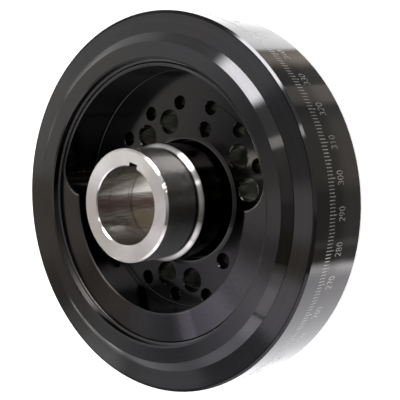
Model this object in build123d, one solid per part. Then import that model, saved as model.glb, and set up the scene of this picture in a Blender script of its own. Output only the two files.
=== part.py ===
# Harmonic balancer for a V8 crankshaft.
#
# Three bonded pieces on one axis: a steel hub with the crank bore, the ground
# seal nose and a half-moon balance weight, a steel inertia ring with a degree
# scale on its rim, and the rubber ring bonded between the two.
#
# Frame: millimetres. The axis of the crank bore is +Z, the nose points up (+Z)
# and the front of the inertia ring, where the balancer stands, is z = 0.
# The keyway lies on +Y. Angles are counted counterclockwise from +X, seen from
# the nose side.
import os
from math import atan2, cos, degrees, radians, sin, sqrt

from build123d import *

# ---------------------------------------------------------------- dimensions
# inertia ring
ring_od_r = 87.0            # outer radius
ring_od_top = 34.6          # height of the rim cylinder, up to its rear chamfer
ring_chamfer = 1.0          # rear and front chamfers of the rim
ring_step_r = 77.1          # small step where the raised land begins
ring_slope_z = 36.5         # the rear annulus rises this far towards the step
ring_step_z = 36.75         # top of the step
ring_cone_r = 72.9          # the land's cone ends here
ring_land_z = 40.0          # top of the raised land
ring_in_r = 65.1            # bore of the ring above the rubber
ring_in_bevel_w = 1.0       # flat bevel at the mouth of that bore
ring_in_bevel_h = 0.25
ring_front_in_chamfer = 1.0

# rubber
rubber_t = 2.0              # bonded thickness, measured square to the metal
bond_bow = 2.5              # how far the bonded gap bows outward at mid height
bead_in_r = 64.1            # inner side of the bead, clear of the rim's edge
bead_groove_z = 35.5        # bottom of the groove between rim and bead
bead_in_z = 36.2            # where the bead's crest begins
bead_out_z = 36.8           # where the bead meets the ring's bore

# hub rim
rim_r = 63.7                # outer radius of the rim at both ends of the bond
rim_top = 36.3              # rear face of rim and balance weight
hub_front = 2.0             # pulley face of the hub, set back from the ring
pocket_r = 62.1             # wall of the milled pocket
pocket_fillet = 0.5         # floor fillet of the pocket
pocket_end_r = 12.0         # end radius that the cutter leaves
weight_in_r = 50.8          # inner wall of the balance weight
weight_line = 15.4          # direction of the line where the weight ends
bevel_w, bevel_h = 0.8, 0.42  # broken edge around the pocket mouth
floor_z = 15.4              # web floor
floor_step_r = 48.3         # turned step in the floor
floor_step = 0.4

# nose
nose_r = 25.4               # ground seal surface
nose_top = 56.3             # end face
nose_chamfer = 0.9
relief_r = 25.1             # grinding relief below the seal surface
relief_z0, relief_z1 = 35.3, 38.0
shoulder_in_r, shoulder_in_z = 25.5, 35.0
shoulder_out_r, shoulder_out_z = 27.1, 33.8
moat_r = 28.7               # narrow groove around the root of the nose
moat_z = 10.0
lip_z = 15.9               # collar around the groove, falling off outward
lip_out_r = 30.7

# crank bore
bore_r = 17.46              # 1.375 in crankshaft snout
bore_lead_r = 17.56         # lead-in at the nose end
bore_lead_z = 48.4
bore_chamfer = 0.5
washer_r = 20.0             # seat of the crank bolt's washer, front side
washer_z = 6.0
pilot_out_r = 24.0          # pulley pilot ring around the seat
pilot_z = 0.5
key_w = 4.76                # 3/16 in keyway
key_r = 19.7
key_angle = 90.0

# holes in the web
outer_n, outer_pcd_r, outer_d, outer_a0 = 15, 46.0, 6.6, 86.7
puller_n, puller_pcd_r, puller_d, puller_a0 = 3, 35.3, 6.6, 86.7
puller_sink_d = 7.6
pulley_pcd_r, pulley_d, pulley_sink_d = 38.0, 10.8, 11.7
pulley_angles = (145.9, 121.9, 50.2, 26.4, -67.6, -91.6)

# front side relief between pulley face and rim
front_relief_r0, front_relief_r1, front_relief_z = 52.5, 59.5, 4.5

# small dings on the nose's front edge: angle, radius, height, size
dings = ((34.5, 25.55, 55.75, 0.75), (36.8, 25.8, 55.25, 0.5), (38.9, 25.7, 55.4, 0.65), (42.7, 25.6, 55.6, 0.8))


def on_circle(r, a, z=0.0):
    return Vector(r * cos(radians(a)), r * sin(radians(a)), z)


def turned(points):
    """Solid of revolution about Z from a closed (radius, height) outline."""
    return revolve(Plane.XZ * make_face(Polyline(*points, close=True)), Axis.Z)


def bow_arc(r_end, z0, z1, bow):
    """Outward bowed arc of the bond line, as (radius, height) points."""
    half = (z1 - z0) / 2
    rad = (half * half + bow * bow) / (2 * bow)
    mid = (z0 + z1) / 2
    return (r_end, z0), (r_end + bow, mid), (r_end, z1), rad


# ------------------------------------------------------------- inertia ring
# The bonded surfaces are two arcs around the same centre, rubber_t apart.
bond_z0, bond_z1 = hub_front, rim_top
(_, _, _, bond_rad) = bow_arc(rim_r, bond_z0, bond_z1, bond_bow)
bond_mid = (bond_z0 + bond_z1) / 2
bond_cx = rim_r + bond_bow - bond_rad         # centre of the two arcs


def bond_r(z, offset=0.0):
    return bond_cx + sqrt((bond_rad + offset) ** 2 - (z - bond_mid) ** 2)


ring_bond_z0, ring_bond_z1 = 1.2, 35.6        # the ring's share of the bond
step_z = ring_od_top + ring_chamfer          # rear annulus
with BuildSketch(Plane.XZ) as ring_profile:
    with BuildLine():
        r0, r1 = bond_r(ring_bond_z0, rubber_t), bond_r(ring_bond_z1, rubber_t)
        Polyline(
            (r0, ring_bond_z0),
            (r0 + ring_front_in_chamfer, 0),
            (ring_od_r - ring_chamfer, 0),
            (ring_od_r, ring_chamfer),
            (ring_od_r, ring_od_top),
            (ring_od_r - ring_chamfer, step_z),
            (ring_step_r, ring_slope_z),
            (ring_step_r, ring_step_z),
            (ring_cone_r, ring_land_z),
            (ring_in_r + ring_in_bevel_w, ring_land_z),
            (ring_in_r, ring_land_z - ring_in_bevel_h),
            (ring_in_r, ring_bond_z1 + 0.5),
            (r1, ring_bond_z1),
        )
        ThreePointArc(
            (r1, ring_bond_z1),
            (bond_r(bond_mid, rubber_t), bond_mid),
            (r0, ring_bond_z0),
        )
    make_face()
inertia_ring = revolve(ring_profile.sketch, Axis.Z)

# ------------------------------------------------------------------- rubber
# Squeezed up into a bead at the rear, a little hollow at the front.
with BuildSketch(Plane.XZ) as rubber_profile:
    with BuildLine():
        zi0, zi1 = hub_front + 0.8, bead_groove_z
        zo0, zo1 = ring_bond_z0 + 0.8, ring_bond_z1
        a0, a1 = bond_r(zi0), bond_r(zi1)
        b0, b1 = bond_r(zo0, rubber_t), bond_r(zo1, rubber_t)
        ThreePointArc((a0, zi0), (bond_r(bond_mid), bond_mid), (a1, zi1))
        Polyline((a1, zi1), (bead_in_r, zi1 + 0.35), (bead_in_r, bead_in_z))
        Spline(
            (bead_in_r, bead_in_z),
            (bead_in_r + 0.18, bead_in_z + 0.28),
            (ring_in_r, bead_out_z),
            tangents=((0, 1), (1, 0.45)),
        )
        Polyline((ring_in_r, bead_out_z), (ring_in_r, ring_bond_z1 + 0.5), (b1, zo1))
        ThreePointArc((b1, zo1), (bond_r(bond_mid, rubber_t), bond_mid), (b0, zo0))
        ThreePointArc((b0, zo0), ((a0 + b0) / 2 - 0.1, (zi0 + zo0) / 2 + 0.6), (a0, zi0))
    make_face()
damper_rubber = revolve(rubber_profile.sketch, Axis.Z)

# ---------------------------------------------------------------------- hub
# Blank: everything that is round, with the rear face still at full height.
with BuildSketch(Plane.XZ) as hub_profile:
    with BuildLine():
        z0, z1 = hub_front, rim_top - 0.3
        Polyline(
            (bond_r(z1), z1),
            (bond_r(z1) - 0.3, rim_top),
            (shoulder_out_r + 6.0, rim_top),
            (shoulder_out_r + 6.0, shoulder_out_z - 1.0),
            (shoulder_out_r, shoulder_out_z - 1.0),
            (shoulder_out_r, shoulder_out_z),
            (shoulder_in_r, shoulder_in_z),
            (relief_r, relief_z0),
            (relief_r, relief_z1),
            (nose_r, relief_z1 + 0.2),
            (nose_r, nose_top - nose_chamfer),
            (nose_r - nose_chamfer, nose_top),
            (bore_lead_r + bore_chamfer, nose_top),
            (bore_lead_r, nose_top - bore_chamfer),
            (bore_lead_r, bore_lead_z),
            (bore_r, bore_lead_z - 0.5),
            (bore_r, washer_z + 0.8),
            (bore_r + 0.8, washer_z),
            (washer_r, washer_z),
            (washer_r, pilot_z + 0.6),
            (washer_r + 0.6, pilot_z),
            (pilot_out_r - 0.5, pilot_z),
            (pilot_out_r, pilot_z + 0.5),
            (pilot_out_r, z0),
            (front_relief_r0, z0),
            (front_relief_r0 + 1.0, front_relief_z),
            (front_relief_r1, front_relief_z),
            (front_relief_r1 + 1.0, z0),
            (bond_r(z0), z0),
        )
        ThreePointArc((bond_r(z0), z0), (bond_r(bond_mid), bond_mid), (bond_r(z1), z1))
    make_face()
hub = revolve(hub_profile.sketch, Axis.Z)

# Round middle of the pocket: floor, step, lip and the groove at the nose.
depth_over = rim_top + 5.0
middle = turned((
    (shoulder_out_r, moat_z + 0.6),
    (shoulder_out_r + 0.6, moat_z),
    (moat_r - 0.6, moat_z),
    (moat_r, moat_z + 0.6),
    (moat_r, lip_z - 0.12),
    (moat_r + 0.12, lip_z),
    (lip_out_r, floor_z),
    (floor_step_r, floor_z),
    (floor_step_r, depth_over),
    (shoulder_out_r, depth_over),
))
hub -= middle

# Inner wall of the weight, with its floor fillet and broken top edge.
low_z = floor_z - floor_step
f = pocket_fillet
with BuildSketch(Plane.XZ) as wall_profile:
    with BuildLine():
        Polyline(
            (weight_in_r - f, low_z),
            (floor_step_r, low_z),
            (floor_step_r, depth_over),
            (weight_in_r + bevel_w * (1 + (depth_over - rim_top) / bevel_h), depth_over),
            (weight_in_r, rim_top - bevel_h),
            (weight_in_r, low_z + f),
        )
        ThreePointArc(
            (weight_in_r, low_z + f),
            (weight_in_r - f + f * cos(radians(45)), low_z + f - f * sin(radians(45))),
            (weight_in_r - f, low_z),
        )
    make_face()
hub -= revolve(wall_profile.sketch, Axis.Z)

# The milled half of the pocket, out to the rim, with the ends that the cutter
# leaves, its floor fillet and its broken top edge.
with BuildSketch() as half:
    Circle(pocket_r)
    with Locations((0, -pocket_r)):
        Rectangle(2 * pocket_r + 2, 2 * pocket_r, mode=Mode.SUBTRACT)
    fillet(half.vertices(), pocket_end_r)
half_cut = extrude(half.sketch, depth_over - low_z)
half_cut = fillet(half_cut.edges().group_by(Axis.Z)[0], f)
half_cut = Pos(0, 0, low_z) * half_cut
half_cut -= Pos(0, 0, depth_over / 2) * Cylinder(floor_step_r, 2 * depth_over)
flare = extrude(offset(half.face(), bevel_w, kind=Kind.ARC), -bevel_h, taper=degrees(atan2(bevel_w, bevel_h)))
flare = Pos(0, 0, rim_top) * flare
hub -= Rot(0, 0, weight_line) * half_cut
hub -= Rot(0, 0, weight_line) * flare


def drilled(r, a, d, sink_d, z_low, z_high):
    """Through hole along Z with a countersink at both ends."""
    s = (sink_d - d) / 2
    p = on_circle(r, a)
    body = Pos(p.X, p.Y, (z_low + z_high) / 2) * Cylinder(d / 2, z_high - z_low + 4)
    if s > 0:
        top = Pos(p.X, p.Y, z_high + 0.5 - (s + 0.5) / 2) * Cone(d / 2, sink_d / 2 + 0.5, s + 0.5)
        low = Pos(p.X, p.Y, z_low - 0.5 + (s + 0.5) / 2) * Cone(sink_d / 2 + 0.5, d / 2, s + 0.5)
        body = body + top + low
    return body


# Fifteen small holes, three puller holes and six pulley bolt holes.
holes = []
for i in range(outer_n):
    holes.append(drilled(outer_pcd_r, outer_a0 + i * 360.0 / outer_n, outer_d, outer_d + 0.4, hub_front, floor_z))
for i in range(puller_n):
    holes.append(drilled(puller_pcd_r, puller_a0 + i * 360.0 / puller_n, puller_d, puller_sink_d, hub_front, floor_z))
for a in pulley_angles:
    holes.append(drilled(pulley_pcd_r, a, pulley_d, pulley_sink_d, hub_front, floor_z))
hub -= holes

# Keyway through the whole bore.
key_len = nose_top + 4
hub -= (
    Rot(0, 0, key_angle)
    * Pos(key_r / 2, 0, key_len / 2 - 2)
    * Box(key_r, key_w, key_len)
)

# Dings on the front edge of the nose, from handling.
for a, r, z, s in dings:
    p = on_circle(r, a, z)
    hub -= Pos(p.X, p.Y, p.Z) * Rot(37, 21, a + 13) * Sphere(s)

# ------------------------------------------------------------------ output
os.makedirs("parts", exist_ok=True)
for name, shape in (("hub", hub), ("damper_rubber", damper_rubber), ("inertia_ring", inertia_ring)):
    solids = shape.solids()
    print(name, "solids", len(solids), "volume", round(shape.volume, 1), "valid", shape.is_valid)
    solid = solids[0]
    solid.label = name
    export_step(solid, f"parts/{name}.step")
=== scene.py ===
import math

import bmesh
import bpy
from mathutils import Matrix, Vector


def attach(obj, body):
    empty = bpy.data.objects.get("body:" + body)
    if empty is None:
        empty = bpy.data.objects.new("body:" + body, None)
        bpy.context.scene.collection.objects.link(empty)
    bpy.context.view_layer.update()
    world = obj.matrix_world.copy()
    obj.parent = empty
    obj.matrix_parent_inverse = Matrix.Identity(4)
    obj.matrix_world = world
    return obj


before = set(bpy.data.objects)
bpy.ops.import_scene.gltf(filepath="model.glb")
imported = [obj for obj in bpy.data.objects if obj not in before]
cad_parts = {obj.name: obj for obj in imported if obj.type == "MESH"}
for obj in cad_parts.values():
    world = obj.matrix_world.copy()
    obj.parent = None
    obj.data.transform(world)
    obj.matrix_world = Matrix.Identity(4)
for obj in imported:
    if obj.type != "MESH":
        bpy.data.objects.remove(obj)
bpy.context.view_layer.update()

RING_R = 0.087              # outer radius of the inertia ring
scene = bpy.context.scene
scene.view_settings.view_transform = "Standard"
scene.view_settings.look = "None"

# ------------------------------------------------------------------- camera
# The camera looks down on the nose side. Its three axes are worked out from
# the swing and the lift of its line of sight against the balancer's axis.
SWING, LIFT = math.radians(40.08), math.radians(4.89)
FOCAL, RANGE = 1028.8, 5.410        # in pixels of 400, and in ring radii
AIM_U, AIM_V = 157.79, 202.64       # where the middle of the rim's edge is seen
TURN = Matrix.Rotation(math.radians(16.4), 4, "Z")
REAR_Z = 0.0346

axis_n = Vector((-math.sin(SWING), -math.cos(SWING) * math.sin(LIFT), math.cos(SWING) * math.cos(LIFT)))
axis_up = Vector((0.0, math.cos(LIFT), math.sin(LIFT)))
axis_up = (axis_up - axis_n * axis_up.dot(axis_n)).normalized()
axis_s = axis_up.cross(axis_n)
middle = Vector(((AIM_U - 200) / FOCAL * RANGE, -(AIM_V - 200) / FOCAL * RANGE, -RANGE))


def row_direction(x, y, z):
    """A direction given along the camera's right, up and back, in the row frame."""
    v = Vector((x, y, z))
    return TURN.to_3x3() @ Vector((v.dot(axis_s), v.dot(axis_up), v.dot(axis_n)))


cam_right, cam_up, cam_back = (row_direction(*v) for v in ((1, 0, 0), (0, 1, 0), (0, 0, 1)))
place = row_direction(*(-middle * RING_R)) + Vector((0, 0, REAR_Z))
camera_data = bpy.data.cameras.new("camera")
camera_data.sensor_width = 36.0
camera_data.lens = FOCAL / 400 * 36.0
camera_data.clip_start = 0.01
camera_data.clip_end = 20.0
camera = bpy.data.objects.new("camera", camera_data)
scene.collection.objects.link(camera)
camera.matrix_world = Matrix((
    (cam_right.x, cam_up.x, cam_back.x, place.x),
    (cam_right.y, cam_up.y, cam_back.y, place.y),
    (cam_right.z, cam_up.z, cam_back.z, place.z),
    (0, 0, 0, 1),
))
scene.camera = camera


# ------------------------------------------------------------- node helpers
class Nodes:
    """Short names for the nodes of one tree."""

    def __init__(self, tree):
        self.tree = tree
        self.x = 0

    def new(self, kind, **values):
        n = self.tree.nodes.new(kind)
        self.x += 40
        n.location = (self.x, 0)
        for key, value in values.items():
            setattr(n, key, value)
        return n

    def link(self, a, b):
        self.tree.links.new(a, b)

    def put(self, value, socket):
        if isinstance(value, bpy.types.NodeSocket):
            self.link(value, socket)
        else:
            socket.default_value = value

    def math(self, operation, a, b=0.0, c=0.0, clamp=False):
        n = self.new("ShaderNodeMath", operation=operation, use_clamp=clamp)
        for value, socket in zip((a, b, c), n.inputs):
            self.put(value, socket)
        return n.outputs[0]

    def add(self, a, b):
        return self.math("ADD", a, b)

    def sub(self, a, b):
        return self.math("SUBTRACT", a, b)

    def mul(self, a, b):
        return self.math("MULTIPLY", a, b)

    def step(self, value, edge, soft):
        """0 below edge, 1 above it, with a smooth change soft wide."""
        n = self.new("ShaderNodeMapRange", interpolation_type="SMOOTHSTEP")
        self.put(value, n.inputs["Value"])
        n.inputs["From Min"].default_value = edge - soft / 2
        n.inputs["From Max"].default_value = edge + soft / 2
        return n.outputs["Result"]

    def ramp_between(self, value, a, b, low=0.0, high=1.0):
        n = self.new("ShaderNodeMapRange", interpolation_type="LINEAR", clamp=True)
        self.put(value, n.inputs["Value"])
        n.inputs["From Min"].default_value = a
        n.inputs["From Max"].default_value = b
        n.inputs["To Min"].default_value = low
        n.inputs["To Max"].default_value = high
        return n.outputs["Result"]

    def window(self, value, a, b, soft_a, soft_b=None):
        """1 from a to b, with smooth ends."""
        soft_b = soft_a if soft_b is None else soft_b
        return self.mul(self.step(value, a, soft_a), self.sub(1.0, self.step(value, b, soft_b)))

    def mix(self, factor, a, b, blend="MIX"):
        n = self.new("ShaderNodeMix", data_type="RGBA", blend_type=blend, clamp_factor=True)
        self.put(factor, n.inputs[0])
        for value, socket in ((a, n.inputs[6]), (b, n.inputs[7])):
            if isinstance(value, tuple) and len(value) == 3:
                value = (*value, 1.0)
            self.put(value, socket)
        return n.outputs[2]

    def mix_value(self, factor, a, b):
        n = self.new("ShaderNodeMix", data_type="FLOAT", clamp_factor=True)
        self.put(factor, n.inputs[0])
        self.put(a, n.inputs[2])
        self.put(b, n.inputs[3])
        return n.outputs[0]

    def noise(self, value=None, vector=None, scale=1.0, detail=2.0, rough=0.5, dims="3D", distortion=0.0):
        n = self.new("ShaderNodeTexNoise", noise_dimensions=dims)
        if dims == "1D":
            self.put(value, n.inputs["W"])
        elif vector is not None:
            self.put(vector, n.inputs["Vector"])
        n.inputs["Scale"].default_value = scale
        n.inputs["Detail"].default_value = detail
        n.inputs["Roughness"].default_value = rough
        n.inputs["Distortion"].default_value = distortion
        return n.outputs["Fac"]

    def split(self, vector):
        n = self.new("ShaderNodeSeparateXYZ")
        self.link(vector, n.inputs[0])
        return n.outputs

    def join(self, x, y, z):
        n = self.new("ShaderNodeCombineXYZ")
        for value, socket in zip((x, y, z), n.inputs):
            self.put(value, socket)
        return n.outputs[0]


# -------------------------------------------------------------------- world
# A light tent seen only in gloss, and an even pale light for everything matt.
# The tent is laid out by the half way direction between a light and the main
# line of sight: around the balancer's axis (sector) and up from its rim
# (height). Turned metal shows each light as a sector at that angle.
world = bpy.data.worlds.new("studio")
scene.world = world
world.use_nodes = True
world.cycles.sampling_method = "NONE"
w = Nodes(world.node_tree)
world.node_tree.nodes.clear()
sky = w.new("ShaderNodeTexCoord").outputs["Generated"]
sight = row_direction(*(-middle)).normalized()
half = w.new("ShaderNodeVectorMath", operation="ADD")
w.link(sky, half.inputs[0])
half.inputs[1].default_value = sight
unit = w.new("ShaderNodeVectorMath", operation="NORMALIZE")
w.link(half.outputs[0], unit.inputs[0])
hx, hy, hz = w.split(unit.outputs[0])
turned_x = w.add(w.mul(hx, math.cos(math.radians(16.4))), w.mul(hy, math.sin(math.radians(16.4))))
turned_y = w.sub(w.mul(hy, math.cos(math.radians(16.4))), w.mul(hx, math.sin(math.radians(16.4))))
sector = w.mul(w.math("ARCTAN2", turned_y, turned_x), 180 / math.pi)
height = w.mul(w.math("ARCSINE", hz), 180 / math.pi)

tent = w.join(0.0, 0.0, 0.0)


def light(colour, power, *windows):
    """Adds a light, bright where all windows are."""
    global tent
    f = windows[0]
    for other in windows[1:]:
        f = w.mul(f, other)
    n = w.new("ShaderNodeVectorMath", operation="SCALE")
    n.inputs[0].default_value = [c * power for c in colour]
    w.put(f, n.inputs["Scale"])
    total = w.new("ShaderNodeVectorMath", operation="ADD")
    w.link(tent, total.inputs[0])
    w.link(n.outputs[0], total.inputs[1])
    tent = total.outputs[0]


# Height zones, each with the surface that shows it: its radius and height in
# millimetres and the lift of its normal above the horizontal.
rim = (w.sub(1.0, w.step(height, 19.0, 5.0)), 87.0, 28.6, 0.0)          # the rim's cylinder
edge = (w.window(height, 29.0, 42.0, 4.0, 2.5), 86.5, 35.1, 45.0)       # the rim's chamfer
cone = (w.window(height, 42.0, 56.0, 2.5, 3.0), 75.0, 38.4, 52.3)       # cone of the raised land
collar = (w.window(height, 56.0, 63.0, 3.0, 3.0), 50.0, 36.0, 62.0)
bevel = (w.window(height, 63.0, 75.2, 3.0, 2.5), -61.5, 36.1, 62.3)     # bevels of the pocket
root = (bevel[0], 29.7, 15.6, 75.0)                                     # collar at the nose's root
back = (w.window(height, 70.5, 76.5, 2.0, 2.0), 75.0, 38.4, 52.3)       # annulus seen in the cone
annulus = (w.window(height, 75.2, 82.0, 2.5, 3.0), 82.0, 36.0, 84.2)    # the rear annulus
flat = (w.step(height, 82.0, 3.0), 69.5, 40.0, 90.0)                    # land, weight and web


def tent_sector(angle, radius, z, lift):
    """The sector of the tent that a turned surface shows at this angle of the part."""
    t = math.radians(angle + 16.4)
    e = math.radians(lift)
    inward = radius < 0
    outward = Vector((math.cos(t), math.sin(t), 0.0))
    point = outward * abs(radius) / 1000 + Vector((0, 0, z / 1000))
    normal = outward * (math.cos(e) * (-1 if inward else 1)) + Vector((0, 0, math.sin(e)))
    view = (place - point).normalized()
    ray = normal * (2 * normal.dot(view)) - view
    h = ray + sight
    found = math.degrees(math.atan2(h.y, h.x)) - 16.4
    aim = angle + (180.0 if inward else 0.0)
    return found + 360.0 * round((aim - found) / 360.0)


def panel(zone, a, b, power, colour=(1.0, 1.0, 1.0), soft=4.0, soft_b=None):
    """A light panel in one zone, seen on that surface from angle a to angle b."""
    mask, radius, z, lift = zone
    soft_b = soft if soft_b is None else soft_b
    a0, a1, b0, b1 = (tent_sector(v, radius, z, lift) for v in (a - soft / 2, a + soft / 2, b - soft_b / 2, b + soft_b / 2))
    shape = w.window(sector, (a0 + a1) / 2, (b0 + b1) / 2, max(a1 - a0, 0.4), max(b1 - b0, 0.4))
    if (b0 + b1) / 2 > 181.0:
        shape = w.add(shape, w.window(sector, (a0 + a1) / 2 - 360.0, (b0 + b1) / 2 - 360.0, max(a1 - a0, 0.4), max(b1 - b0, 0.4)))
    if (a0 + a1) / 2 < -181.0:
        shape = w.add(shape, w.window(sector, (a0 + a1) / 2 + 360.0, (b0 + b1) / 2 + 360.0, max(a1 - a0, 0.4), max(b1 - b0, 0.4)))
    light(colour, power, mask, shape)


WARM, COOL, BROWN = (1.0, 0.925, 0.84), (0.98, 0.97, 1.03), (1.0, 0.84, 0.68)
VIOLET = (1.0, 0.965, 1.06)

# a large panel high on the left lights the flat faces
panel(flat, 52.0, 172.0, 1.20, soft=14.0, soft_b=10.0)
panel(flat, 172.0, 188.0, 0.64, WARM, 10.0, 8.0)
panel(flat, -172.0, -156.0, 0.76, WARM, 8.0, 8.0)
panel(flat, -156.0, -126.0, 0.55, WARM, 8.0, 8.0)
panel(flat, -126.0, -97.0, 0.86, soft=8.0, soft_b=10.0)
panel(flat, -97.0, -84.0, 0.50, soft=10.0, soft_b=8.0)
panel(flat, -84.0, -67.0, 0.34, COOL, 8.0, 6.0)
panel(flat, -67.0, -52.0, 0.92, VIOLET, 6.0, 8.0)
panel(flat, -52.0, -36.0, 1.35, VIOLET, 8.0, 6.0)
panel(flat, -36.0, -22.5, 1.75, VIOLET, 6.0, 2.5)
panel(flat, -22.5, -8.0, 0.31, COOL, 2.5, 5.0)
panel(flat, -8.0, 8.0, 0.95, VIOLET, 5.0, 6.0)
panel(flat, 8.0, 24.0, 0.56, COOL, 6.0, 6.0)
panel(flat, 24.0, 38.0, 0.32, COOL, 6.0, 6.0)
panel(flat, 38.0, 52.0, 0.60, soft=6.0, soft_b=14.0)

# the rear annulus
panel(annulus, 38.0, 130.0, 1.12, soft=8.0, soft_b=20.0)
panel(annulus, 130.0, 174.0, 1.12, soft=20.0, soft_b=8.0)
panel(annulus, 174.0, 204.0, 0.62, WARM, 8.0, 8.0)
panel(annulus, -156.0, -124.0, 0.36, WARM, 8.0, 8.0)
panel(annulus, -124.0, -97.0, 0.66, soft=6.0, soft_b=8.0)
panel(annulus, -97.0, -70.0, 0.90, COOL, 8.0, 8.0)
panel(annulus, -70.0, -40.0, 0.31, COOL, 8.0, 5.0)
panel(annulus, -40.0, -20.0, 1.50, VIOLET, 5.0, 3.0)
panel(annulus, -20.0, -8.0, 0.50, WARM, 3.0, 5.0)
panel(annulus, -8.0, 8.0, 1.02, VIOLET, 5.0, 6.0)
panel(annulus, 8.0, 38.0, 0.40, COOL, 6.0, 8.0)

# bevels of the pocket, seen on its mouth
panel(bevel, 62.0, 156.0, 1.45, soft=14.0, soft_b=6.0)
panel(bevel, 156.0, 173.0, 0.42, soft=6.0)
panel(bevel, 173.0, 282.0, 0.95, soft=6.0, soft_b=10.0)
panel(bevel, 282.0, 310.0, 1.6, soft=10.0, soft_b=10.0)
panel(bevel, -50.0, 62.0, 0.35, soft=10.0, soft_b=14.0)

# what the cone shows of the annulus, where it is seen at a grazing angle
panel(back, -137.0, -104.0, 6.0, soft=7.0, soft_b=8.0)
light((1.0, 1.0, 1.0), 0.75, bevel[0], w.window(sector, -121.0, -110.0, 4.0))
light((1.0, 1.0, 1.0), 0.65, collar[0], w.window(sector, -112.0, -102.0, 4.0))
panel(back, 132.0, 162.0, 1.6, soft=8.0, soft_b=10.0)

# what falls between cones and bevels
panel(collar, -72.0, -26.0, 1.15, soft=24.0, soft_b=10.0)
panel(collar, -26.0, -4.0, 0.38, soft=10.0)
panel(collar, -4.0, 20.0, 0.70, soft=10.0, soft_b=14.0)
panel(collar, 20.0, 60.0, 1.20, soft=14.0)
panel(collar, 60.0, 180.0, 0.95, soft=14.0, soft_b=4.0)

# a softbox above and its neighbours light the cones
SOFTBOX = (1.0, 0.99, 0.99)
panel(cone, 37.4, 57.0, 15.5, SOFTBOX, 4.2, 7.5)
panel(cone, 21.0, 24.5, 3.2, soft=0.9)
panel(cone, 24.5, 37.0, 0.66, soft=1.0, soft_b=2.0)
panel(cone, 15.0, 21.0, 0.54, soft=6.0, soft_b=0.8)
panel(cone, 3.5, 15.0, 0.44, soft=4.0, soft_b=6.0)
panel(cone, -5.0, 3.5, 0.27, soft=9.0, soft_b=4.0)
panel(cone, -19.0, -5.0, 0.17, (1.0, 1.0, 0.80), 6.0, 9.0)
panel(cone, -24.5, -19.0, 1.25, COOL, 5.0, 5.0)
panel(cone, -35.5, -24.5, 2.1, COOL, 1.4, 5.0)
panel(cone, -46.0, -36.6, 2.9, COOL, 8.0, 2.2)
panel(cone, -66.0, -46.0, 1.85, COOL, 16.0, 8.0)
panel(cone, -96.0, -66.0, 1.0, COOL, 10.0, 16.0)
panel(cone, -108.0, -96.0, 0.70, soft=10.0, soft_b=10.0)
panel(cone, -137.0, -108.0, 2.6, soft=7.0, soft_b=10.0)
panel(cone, 59.0, 66.0, 0.95, soft=4.0, soft_b=8.0)
panel(cone, 66.0, 86.0, 0.84, soft=8.0)
panel(cone, 86.0, 100.0, 1.15, soft=8.0)
panel(cone, 100.0, 128.0, 1.06, soft=8.0, soft_b=10.0)
panel(cone, 128.0, 164.0, 1.6, soft=10.0, soft_b=10.0)
panel(cone, 164.0, 223.0, 0.66, BROWN, 10.0, 7.0)

# the rim's chamfer
panel(edge, 37.0, 57.2, 19.0, SOFTBOX, 3.4, 5.0)
panel(edge, 21.6, 24.6, 6.0, soft=1.2)
panel(edge, 24.6, 37.3, 0.75, soft=1.2, soft_b=1.0)
panel(edge, 0.0, 21.6, 0.55, soft=4.0, soft_b=0.8)
panel(edge, -17.0, 0.0, 0.18, soft=2.0, soft_b=4.0)
panel(edge, -68.0, -17.0, 1.15, soft=16.0, soft_b=4.0)
panel(edge, -110.0, -70.0, 0.12, soft=10.0, soft_b=16.0)
panel(edge, 56.6, 62.0, 1.0, soft=3.0, soft_b=4.0)
panel(edge, 62.0, 98.0, 0.24, soft=4.0, soft_b=10.0)
panel(edge, 98.0, 130.0, 0.05, soft=10.0, soft_b=4.0)

# the rim's cylinder: a white backdrop, the dark room and the table
panel(rim, 50.9, 75.0, 2.15, soft=2.0, soft_b=2.0)
panel(rim, 50.9, 58.0, 0.6, soft=2.0, soft_b=6.0)
light((1.0, 1.0, 1.0), 2.2, rim[0], w.add(w.step(sector, 77.5, 2.0), w.sub(1.0, w.step(sector, -72.0, 4.0))))
panel(rim, 44.6, 50.9, 0.75, (1.0, 0.88, 0.74), 5.0, 2.0)
panel(rim, 30.8, 36.8, 0.42, WARM, 3.0, 1.0)
panel(rim, 7.0, 26.5, 0.17, WARM, 6.0, 8.0)
panel(rim, -14.0, 48.6, 0.25, (1.0, 0.97, 0.92), 0.7, 4.0)
panel(rim, -9.6, -7.6, 0.16, soft=1.2)
panel(rim, -68.0, -14.0, 2.0, (0.985, 0.975, 1.0), 4.0, 0.7)
panel(rim, -17.6, -14.0, 1.1, soft=3.0, soft_b=0.7)

paths = w.new("ShaderNodeLightPath")
gloss = w.new("ShaderNodeBackground")
w.link(tent, gloss.inputs["Color"])
even = w.new("ShaderNodeBackground")
even.inputs["Color"].default_value = (1.0, 1.0, 1.0, 1.0)
even.inputs["Strength"].default_value = 1.25
chosen = w.new("ShaderNodeMixShader")
w.link(paths.outputs["Is Glossy Ray"], chosen.inputs[0])
w.link(even.outputs[0], chosen.inputs[1])
w.link(gloss.outputs[0], chosen.inputs[2])
out = w.new("ShaderNodeOutputWorld")
w.link(chosen.outputs[0], out.inputs["Surface"])

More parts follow.
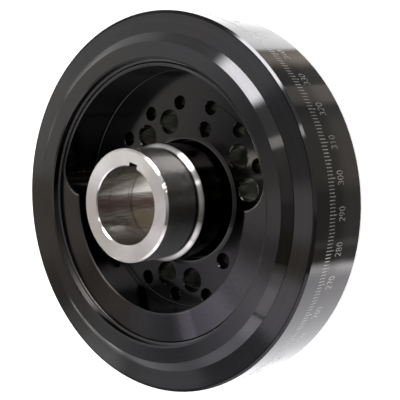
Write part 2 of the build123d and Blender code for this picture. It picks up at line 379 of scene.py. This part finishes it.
# -------------------------------------------------------------------- floor
floor_mesh = bpy.data.meshes.new("floor")
floor_mesh.from_pydata([(-6, -6, 0), (6, -6, 0), (6, 6, 0), (-6, 6, 0)], [], [(0, 1, 2, 3)])
floor = bpy.data.objects.new("floor", floor_mesh)
scene.collection.objects.link(floor)
floor.visible_glossy = False
floor_material = bpy.data.materials.new("pale_floor")
floor_material.use_nodes = True
floor_bsdf = floor_material.node_tree.nodes["Principled BSDF"]
floor_bsdf.inputs["Base Color"].default_value = (0.9, 0.9, 0.9, 1.0)
floor_bsdf.inputs["Roughness"].default_value = 1.0
floor_bsdf.inputs["Specular IOR Level"].default_value = 0.0
floor_bsdf.inputs["Emission Color"].default_value = (1.0, 1.0, 1.0, 1.0)
f = Nodes(floor_material.node_tree)
fx, fy, fz = f.split(f.new("ShaderNodeTexCoord").outputs["Object"])
f_r = f.math("SQRT", f.add(f.mul(fx, fx), f.mul(fy, fy)))
f.link(f.mul(f.step(f_r, 0.0858, 0.0010), 0.45), floor_bsdf.inputs["Emission Strength"])
floor_mesh.materials.append(floor_material)

# A disc seen only in gloss glows: painted reflections of the lit and shaded bench below the holes and the bore,
# brightest under the bore.
disc_mesh = bpy.data.meshes.new("bench_glow")
disc_points = [(0.084 * math.cos(k * math.pi / 24), 0.084 * math.sin(k * math.pi / 24), -0.0002) for k in range(48)]
disc_mesh.from_pydata(disc_points, [], [tuple(range(48))])
disc = bpy.data.objects.new("bench_glow", disc_mesh)
scene.collection.objects.link(disc)
disc.visible_camera = False
disc.visible_diffuse = False
disc.visible_shadow = False
disc_material = bpy.data.materials.new("bench_glow")
disc_material.use_nodes = True
disc_material.node_tree.nodes.clear()
d = Nodes(disc_material.node_tree)
dx, dy, dz = d.split(d.new("ShaderNodeTexCoord").outputs["Object"])
dr = d.math("SQRT", d.add(d.mul(dx, dx), d.mul(dy, dy)))
under_bore = d.sub(1.0, d.step(dr, 0.020, 0.003))
glow_clutter = d.noise(vector=d.join(dx, dy, 0.0), scale=110.0, detail=2.0, rough=0.6)
glow_streaks = d.noise(vector=d.join(d.mul(dx, 0.12), dy, 0.0), scale=420.0, detail=3.0, rough=0.7)
below = d.window(dy, -0.014, -0.003, 0.003, 0.002)
in_bore = d.add(d.mul(d.ramp_between(glow_streaks, 0.35, 0.65), 0.30), d.add(0.10, d.mul(below, 0.60)))
outside = d.mul(d.ramp_between(glow_clutter, 0.36, 0.66, 0.12, 0.75), d.add(0.55, d.mul(d.step(dy, 0.0, 0.02), 0.45)))
glow = d.new("ShaderNodeEmission")
d.link(d.mix(under_bore, (0.96, 1.0, 0.84), d.mix(below, (1.0, 0.88, 0.78), (1.0, 0.98, 0.95))), glow.inputs["Color"])
d.link(d.mix_value(under_bore, outside, in_bore), glow.inputs["Strength"])
disc_out = d.new("ShaderNodeOutputMaterial")
d.link(glow.outputs[0], disc_out.inputs["Surface"])
disc_mesh.materials.append(disc_material)


# ---------------------------------------------------------------- materials
def turned_metal(name, bright):
    """Turned steel under a black oxide. bright adds the ground, bare steel of
    the hub's nose and bore."""
    m = bpy.data.materials.new(name)
    m.use_nodes = True
    tree = m.node_tree
    tree.nodes.clear()
    n = Nodes(tree)
    coords = n.new("ShaderNodeTexCoord").outputs["Object"]
    x, y, z = n.split(coords)
    r = n.math("SQRT", n.add(n.mul(x, x), n.mul(y, y)))
    r_mm, z_mm = n.mul(r, 1000.0), n.mul(z, 1000.0)
    profile = n.add(r_mm, n.mul(z_mm, 1.37))
    # lathe lines: fine ones, and broader bands of slightly other tone
    fine = n.noise(value=profile, scale=5.5, detail=3.0, rough=0.7, dims="1D")
    band = n.noise(value=profile, scale=0.55, detail=2.0, rough=0.6, dims="1D")
    mottle = n.noise(vector=coords, scale=38.0, detail=4.0, rough=0.55)
    cloud = n.noise(vector=coords, scale=9.0, detail=2.0, rough=0.5)
    speck = n.noise(vector=coords, scale=900.0, detail=2.0, rough=0.6)
    # black oxide: neutral to brown, with a blue violet cast in places
    cast = n.mix(n.ramp_between(cloud, 0.40, 0.60), (0.0485, 0.0462, 0.0438), (0.0445, 0.0440, 0.0462))
    cast = n.mix(n.mul(n.ramp_between(mottle, 0.52, 0.72), 0.5), cast, (0.052, 0.044, 0.043))
    level = n.add(0.80, n.add(n.mul(fine, 0.25), n.mul(band, 0.15)))
    oxide = n.new("ShaderNodeVectorMath", operation="SCALE")
    n.link(cast, oxide.inputs[0])
    n.link(level, oxide.inputs["Scale"])
    colour = oxide.outputs[0]
    if bright:
        # painted shade: the pocket's floor is darkened where the pocket's walls shade it
        pocket = n.mul(n.sub(1.0, n.step(z_mm, 17.2, 0.6)), n.step(r_mm, 29.4, 0.2))
        colour = n.mix(n.mul(pocket, 0.42), colour, (0.002, 0.002, 0.002))
        turn = n.mul(n.math("ARCTAN2", y, x), 180 / math.pi)
        # painted shade: darker still towards the pocket's outer wall, on one side
        pocket_wall_shade = n.mul(n.mul(pocket, n.step(r_mm, 50.0, 6.0)), n.window(turn, 10.0, 56.0, 10.0))
        colour = n.mix(n.mul(pocket_wall_shade, 0.75), colour, (0.004, 0.003, 0.002))
        # painted shade in the moat round the root of the nose
        root = n.mul(n.step(r_mm, 22.0, 0.2), n.mul(n.sub(1.0, n.step(r_mm, 28.6, 0.2)), n.sub(1.0, n.step(z_mm, 33.75, 0.1))))
        colour = n.mix(n.mul(root, 0.6), colour, (0.001, 0.001, 0.001))
        # and the weight's face is browner and darker low on the left; beside that it has a painted sheen, a pale patch
        # of reflected light, palest in its middle
        face = n.mul(n.step(z_mm, 36.1, 0.1), n.step(r_mm, 33.0, 0.5))
        brown = n.mul(face, n.window(turn, -130.0, -88.0, 16.0, 14.0))
        colour = n.mix(n.mul(brown, 0.5), colour, (0.020, 0.014, 0.008))
        # painted sheen: a pale patch of reflected light on the weight's face
        pale = n.mul(face, n.window(turn, -61.0, -28.0, 8.0, 12.0))
        colour = n.mix(n.mul(pale, 0.55), colour, (0.105, 0.100, 0.113))
        palest = n.mul(face, n.window(turn, -58.0, -50.5, 5.0, 4.0))
        colour = n.mix(n.mul(palest, 0.55), colour, (0.165, 0.160, 0.175))
        # its ground is a little grainy
        grainy = n.new("ShaderNodeVectorMath", operation="SCALE")
        n.link(colour, grainy.inputs[0])
        n.link(n.add(1.0, n.mul(n.mul(face, 0.55), n.sub(speck, 0.5))), grainy.inputs["Scale"])
        colour = grainy.outputs[0]
    else:
        # painted shade: the outermost edge of the rear annulus is darkened into a dark outline
        last = n.mul(n.step(r_mm, 85.45, 0.2), n.step(z_mm, 35.585, 0.02))
        colour = n.mix(n.mul(last, 0.6), colour, (0.002, 0.002, 0.002))
        # the front part of the rim has a painted sheen on one side, varied by the lathe bands, and painted shade along
        # its edge at the floor
        front = n.mul(n.step(r_mm, 86.9, 0.04), n.sub(1.0, n.step(z_mm, 14.0, 10.0)))
        around = n.mul(n.math("ARCTAN2", y, x), 180 / math.pi)
        front = n.mul(front, n.window(around, -1.0, 66.0, 6.0, 10.0))
        edge_shade = n.mul(n.step(r_mm, 86.0, 0.1), n.sub(1.0, n.step(z_mm, 1.1, 0.5)))
        sheen_and_edge_shade = n.new("ShaderNodeVectorMath", operation="SCALE")
        n.link(colour, sheen_and_edge_shade.inputs[0])
        n.link(n.mul(n.add(1.0, n.mul(front, n.add(0.65, n.mul(band, 0.5)))), n.sub(1.0, n.mul(edge_shade, 0.6))), sheen_and_edge_shade.inputs["Scale"])
        colour = sheen_and_edge_shade.outputs[0]
        # and the wall over the rubber is rubbed brown on one side
        side = n.mul(n.math("ARCTAN2", n.mul(y, -1.0), n.mul(x, -1.0)), 180 / math.pi)
        rubbed = n.mul(n.sub(1.0, n.step(r_mm, 65.25, 0.1)), n.window(z_mm, 36.9, 39.7, 0.1))
        rubbed = n.mul(rubbed, n.window(side, 14.0, 72.0, 14.0))
        colour = n.mix(n.mul(rubbed, 0.12), colour, (0.20, 0.165, 0.14))
    rough = n.add(0.115, n.add(n.mul(n.sub(fine, 0.5), 0.05), n.mul(n.sub(mottle, 0.5), 0.05)))
    if bright:
        nose = n.mul(n.step(z_mm, 33.25, 0.15), n.sub(1.0, n.step(r_mm, 27.4, 0.1)))
        bore = n.sub(1.0, n.step(r_mm, 21.0, 0.1))
        bare = n.math("MAXIMUM", nose, bore)
        lines = n.noise(value=profile, scale=9.0, detail=4.0, rough=0.75, dims="1D")
        stain = n.noise(vector=coords, scale=70.0, detail=5.0, rough=0.6)
        steel = n.mix(n.ramp_between(stain, 0.35, 0.75), (0.62, 0.60, 0.59), (0.54, 0.51, 0.49))
        # the bore's wall: stained brown and olive in streaks along the axis, with a small painted highlight, and
        # painted light, bright as bare steel, in a wedge along one side
        side = n.mul(n.math("ARCTAN2", n.mul(y, -1.0), n.mul(x, -1.0)), 180 / math.pi)
        streak = n.noise(vector=n.join(n.mul(side, 0.06), n.mul(z_mm, 0.012), 0.0), scale=9.0, detail=4.0, rough=0.65)
        streak = n.ramp_between(streak, 0.36, 0.64)
        wall = n.mix(streak, (0.20, 0.195, 0.185), (0.56, 0.54, 0.51))
        wall = n.mix(n.mul(n.window(side, 8.0, 30.0, 6.0), n.sub(0.85, n.mul(streak, 0.35))), wall, (0.22, 0.145, 0.140))
        olive = n.mul(n.window(side, 34.0, 60.0, 8.0), n.sub(1.0, n.step(z_mm, 36.0, 8.0)))
        wall = n.mix(n.mul(olive, 0.75), wall, (0.46, 0.41, 0.30))
        # painted highlight: a small bright patch on the bore's wall
        wall = n.mix(n.mul(n.window(side, 54.0, 62.0, 4.0), n.window(z_mm, 43.0, 52.0, 4.0)), wall, (0.85, 0.84, 0.82))
        # painted light: a bright wedge along one side, wider deeper down
        light_wedge = n.mul(n.step(n.add(side, n.mul(n.sub(48.0, z_mm), 1.05)), -7.0, 8.0), n.sub(1.0, n.step(side, 5.0, 2.5)))
        wall = n.mix(light_wedge, wall, n.mix(streak, (0.74, 0.72, 0.70), (0.90, 0.88, 0.86)))
        inside = n.mul(n.sub(1.0, n.step(r_mm, 17.6, 0.02)), n.sub(1.0, n.step(z_mm, 55.75, 0.02)))
        steel = n.mix(inside, steel, wall)
        # the keyway is dull and dark
        key = n.mul(n.window(n.mul(x, 1000.0), -2.45, 2.45, 0.04), n.mul(n.step(y, 0.0, 0.001), n.sub(1.0, n.step(r_mm, 20.4, 0.05))))
        key = n.mul(key, n.sub(1.0, n.step(z_mm, 56.2, 0.03)))
        steel = n.mix(n.mul(key, 0.93), steel, (0.030, 0.028, 0.026))
        # painted shade: the shoulder below the relief is darkened, most at its outer edge, which narrows its highlight
        shoulder_shade = n.mul(nose, n.sub(1.0, n.step(z_mm, 35.05, 0.04)))
        shoulder_shade = n.mul(shoulder_shade, n.add(0.34, n.mul(n.step(r_mm, 26.6, 0.6), 0.28)))
        # grinding lines, and the painted shade on the shoulder
        lines_and_shade = n.new("ShaderNodeVectorMath", operation="SCALE")
        n.link(steel, lines_and_shade.inputs[0])
        n.link(n.mul(n.add(0.74, n.mul(lines, 0.46)), n.sub(1.0, shoulder_shade)), lines_and_shade.inputs["Scale"])
        # painted shade: dark lines in the corners of the grinding relief
        corner_shade = n.add(n.window(z_mm, 35.0, 36.9, 0.15), n.window(z_mm, 37.9, 38.3, 0.1))
        corner_shade = n.mul(corner_shade, n.window(r_mm, 24.6, 25.44, 0.05))
        bare = n.mul(bare, n.sub(1.0, n.mul(corner_shade, 0.62)))
        colour = n.mix(bare, colour, lines_and_shade.outputs[0])
        round_nose = n.mul(n.step(r_mm, 25.3, 0.04), n.step(z_mm, 38.2, 0.04))
        steel_rough = n.add(n.add(0.22, n.mul(round_nose, 0.035)), n.mul(n.sub(lines, 0.5), 0.10))
        steel_rough = n.sub(steel_rough, n.mul(n.step(z_mm, 56.27, 0.02), 0.07))
        rough = n.mix_value(bare, rough, steel_rough)
        # the bevel round the pocket's mouth is blasted and matt
        matt = n.mul(n.mul(n.step(z_mm, 35.84, 0.02), n.sub(1.0, n.step(z_mm, 36.27, 0.02))), n.step(r_mm, 49.0, 0.3))
        rough = n.mix_value(matt, rough, 0.42)
    else:
        rough = n.mix_value(rubbed, rough, 0.45)
    bsdf = n.new("ShaderNodeBsdfPrincipled")
    n.link(colour, bsdf.inputs["Base Color"])
    n.link(rough, bsdf.inputs["Roughness"])
    bsdf.inputs["Metallic"].default_value = 1.0
    bsdf.inputs["Anisotropic"].default_value = 0.9
    bsdf.inputs["Anisotropic Rotation"].default_value = 0.25
    tangent = n.new("ShaderNodeTangent", direction_type="RADIAL", axis="Z")
    n.link(tangent.outputs[0], bsdf.inputs["Tangent"])
    bump = n.new("ShaderNodeBump")
    bump.inputs["Strength"].default_value = 0.12
    bump.inputs["Distance"].default_value = 0.00002
    n.link(n.add(fine, n.mul(speck, 0.5)), bump.inputs["Height"])
    n.link(bump.outputs[0], bsdf.inputs["Normal"])
    end = n.new("ShaderNodeOutputMaterial")
    n.link(bsdf.outputs[0], end.inputs["Surface"])
    return m


def rubber(name):
    m = bpy.data.materials.new(name)
    m.use_nodes = True
    tree = m.node_tree
    tree.nodes.clear()
    n = Nodes(tree)
    coords = n.new("ShaderNodeTexCoord").outputs["Object"]
    grain = n.noise(vector=coords, scale=1500.0, detail=3.0, rough=0.6)
    cloud = n.noise(vector=coords, scale=60.0, detail=3.0, rough=0.6)
    bsdf = n.new("ShaderNodeBsdfPrincipled")
    n.link(n.mix(n.ramp_between(cloud, 0.35, 0.7), (0.005, 0.005, 0.0055), (0.010, 0.0095, 0.009)), bsdf.inputs["Base Color"])
    x, y, z = n.split(coords)
    turn = n.mul(n.math("ARCTAN2", y, x), 180 / math.pi)
    dusty = n.window(turn, 92.0, 172.0, 20.0, 10.0)
    n.link(n.add(n.add(0.15, n.mul(cloud, 0.12)), n.mul(dusty, 0.24)), bsdf.inputs["Roughness"])
    bump = n.new("ShaderNodeBump")
    bump.inputs["Strength"].default_value = 0.4
    bump.inputs["Distance"].default_value = 0.00008
    n.link(grain, bump.inputs["Height"])
    n.link(bump.outputs[0], bsdf.inputs["Normal"])
    end = n.new("ShaderNodeOutputMaterial")
    n.link(bsdf.outputs[0], end.inputs["Surface"])
    return m


def dress(node, material):
    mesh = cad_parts[node].data
    mesh.materials.clear()
    mesh.materials.append(material)


def scratched_steel(name):
    """Bare metal at the bottom of the scale's strokes."""
    m = bpy.data.materials.new(name)
    m.use_nodes = True
    tree = m.node_tree
    tree.nodes.clear()
    n = Nodes(tree)
    coords = n.new("ShaderNodeTexCoord").outputs["Object"]
    worn = n.noise(vector=coords, scale=420.0, detail=3.0, rough=0.6)
    wide = n.noise(vector=coords, scale=45.0, detail=2.0, rough=0.5)
    tone = n.ramp_between(n.add(n.mul(worn, 0.6), n.mul(wide, 0.4)), 0.38, 0.62)
    bsdf = n.new("ShaderNodeBsdfPrincipled")
    n.link(n.mix(tone, (0.125, 0.119, 0.112), (0.29, 0.281, 0.272)), bsdf.inputs["Base Color"])
    n.link(n.add(0.20, n.mul(worn, 0.15)), bsdf.inputs["Roughness"])
    bsdf.inputs["Metallic"].default_value = 0.6
    end = n.new("ShaderNodeOutputMaterial")
    n.link(bsdf.outputs[0], end.inputs["Surface"])
    return m


# ------------------------------------------------------------- degree scale
# Strokes as thin closed ribbons, let into the rim. Along the rim a place is
# given by its arc length from the label's middle, across it by its height.
SCALE_R, SCALE_ROOT = 87.008, 86.90


def arc(cx, cy, rx, ry, start, stop, count):
    return [
        (cx + rx * math.cos(math.radians(start + (stop - start) * k / count)),
         cy + ry * math.sin(math.radians(start + (stop - start) * k / count)))
        for k in range(count + 1)
    ]


# digits in a cell 1 wide and 1 high: lists of (points, closed)
DIGITS = {
    "0": [(arc(0.5, 0.5, 0.5, 0.5, 90, 430, 17), True)],
    "1": [([(0.22, 0.82), (0.55, 1.0), (0.55, 0.0)], False)],
    "2": [(arc(0.5, 0.72, 0.46, 0.28, 165, -25, 9) + [(0.04, 0.0), (1.0, 0.0)], False)],
    "3": [(arc(0.46, 0.76, 0.46, 0.24, 150, -80, 9) + arc(0.46, 0.27, 0.52, 0.27, 80, -150, 10), False)],
    "4": [([(0.74, 0.0), (0.74, 1.0), (0.0, 0.30), (1.0, 0.30)], False)],
    "5": [([(0.92, 1.0), (0.16, 1.0), (0.08, 0.56)] + arc(0.47, 0.32, 0.50, 0.32, 130, -145, 11), False)],
    "6": [([(0.78, 0.98), (0.30, 0.70)] + arc(0.5, 0.30, 0.48, 0.30, 155, -195, 15), False)],
    "7": [([(0.0, 1.0), (1.0, 1.0), (0.38, 0.0)], False)],
    "8": [(arc(0.5, 0.75, 0.42, 0.25, 90, 430, 13), True), (arc(0.5, 0.25, 0.5, 0.25, 90, 430, 13), True)],
    "9": [([(0.22, 0.02), (0.70, 0.30)] + arc(0.5, 0.70, 0.48, 0.30, -25, 325, 15), False)],
}


def ribbon(verts, faces, points, closed, width, angle):
    """Adds one closed ribbon of the given width along points (arc mm, height mm)."""
    count = len(points)
    sides = []
    for k, (u, v) in enumerate(points):
        before = points[k - 1] if (closed or k > 0) else None
        after = points[(k + 1) % count] if (closed or k < count - 1) else None
        d1 = Vector((u - before[0], v - before[1])).normalized() if before else None
        d2 = Vector((after[0] - u, after[1] - v)).normalized() if after else None
        d1 = d1 or d2
        d2 = d2 or d1
        n1, n2 = Vector((-d1.y, d1.x)), Vector((-d2.y, d2.x))
        mid = (n1 + n2).normalized()
        reach = width / 2 / max(0.45, mid.dot(n1))
        sides.append((Vector((u, v)) + mid * reach, Vector((u, v)) - mid * reach))
    first = len(verts)
    for left, right in sides:
        for q, radius in ((left, SCALE_R), (right, SCALE_R), (right, SCALE_ROOT), (left, SCALE_ROOT)):
            t = angle + q.x / 87.0
            verts.append((radius * math.cos(t) / 1000, radius * math.sin(t) / 1000, q.y / 1000))
    for k in range(count if closed else count - 1):
        a, b = first + 4 * k, first + 4 * ((k + 1) % count)
        for j in range(4):
            i = (j + 1) % 4
            faces.append((a + j, b + j, b + i, a + i))
    if not closed:
        last = first + 4 * (count - 1)
        faces.append((first, first + 1, first + 2, first + 3))
        faces.append((last + 3, last + 2, last + 1, last))


scale_verts, scale_faces = [], []
for degree in range(360):
    long_mark = degree % 10 == 0
    low = 19.7 if long_mark else (20.4 if degree % 5 == 0 else 21.1)
    ribbon(scale_verts, scale_faces, [(0.0, 25.1), (0.0, low)], False, 0.44, math.radians(degree - 274.3))
DIGIT_W, DIGIT_H, DIGIT_STEP, DIGIT_LOW = 1.45, 4.2, 2.2, 13.7
for label in range(0, 360, 10):
    text = str(label)
    for place_no, digit in enumerate(text):
        left = (place_no - (len(text) - 1) / 2) * DIGIT_STEP - DIGIT_W / 2
        for points, closed in DIGITS[digit]:
            line = [(left + px * DIGIT_W, DIGIT_LOW + py * DIGIT_H) for px, py in points]
            ribbon(scale_verts, scale_faces, line, closed, 0.42, math.radians(label - 274.3))
scale_mesh = bpy.data.meshes.new("timing_scale_marks")
scale_mesh.from_pydata(scale_verts, [], scale_faces)
scale_mesh.validate()
bm = bmesh.new()
bm.from_mesh(scale_mesh)
bmesh.ops.recalc_face_normals(bm, faces=bm.faces)
bm.to_mesh(scale_mesh)
bm.free()
scale_marks = bpy.data.objects.new("timing_scale_marks", scale_mesh)
scene.collection.objects.link(scale_marks)
scale_mesh.materials.append(scratched_steel("scale_strokes"))
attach(scale_marks, "root")

# ------------------------------------------------------------ dress the nodes
dress("hub", turned_metal("hub_turned_steel", True))
dress("inertia_ring", turned_metal("ring_turned_steel", False))
dress("damper_rubber", rubber("bonded_rubber"))
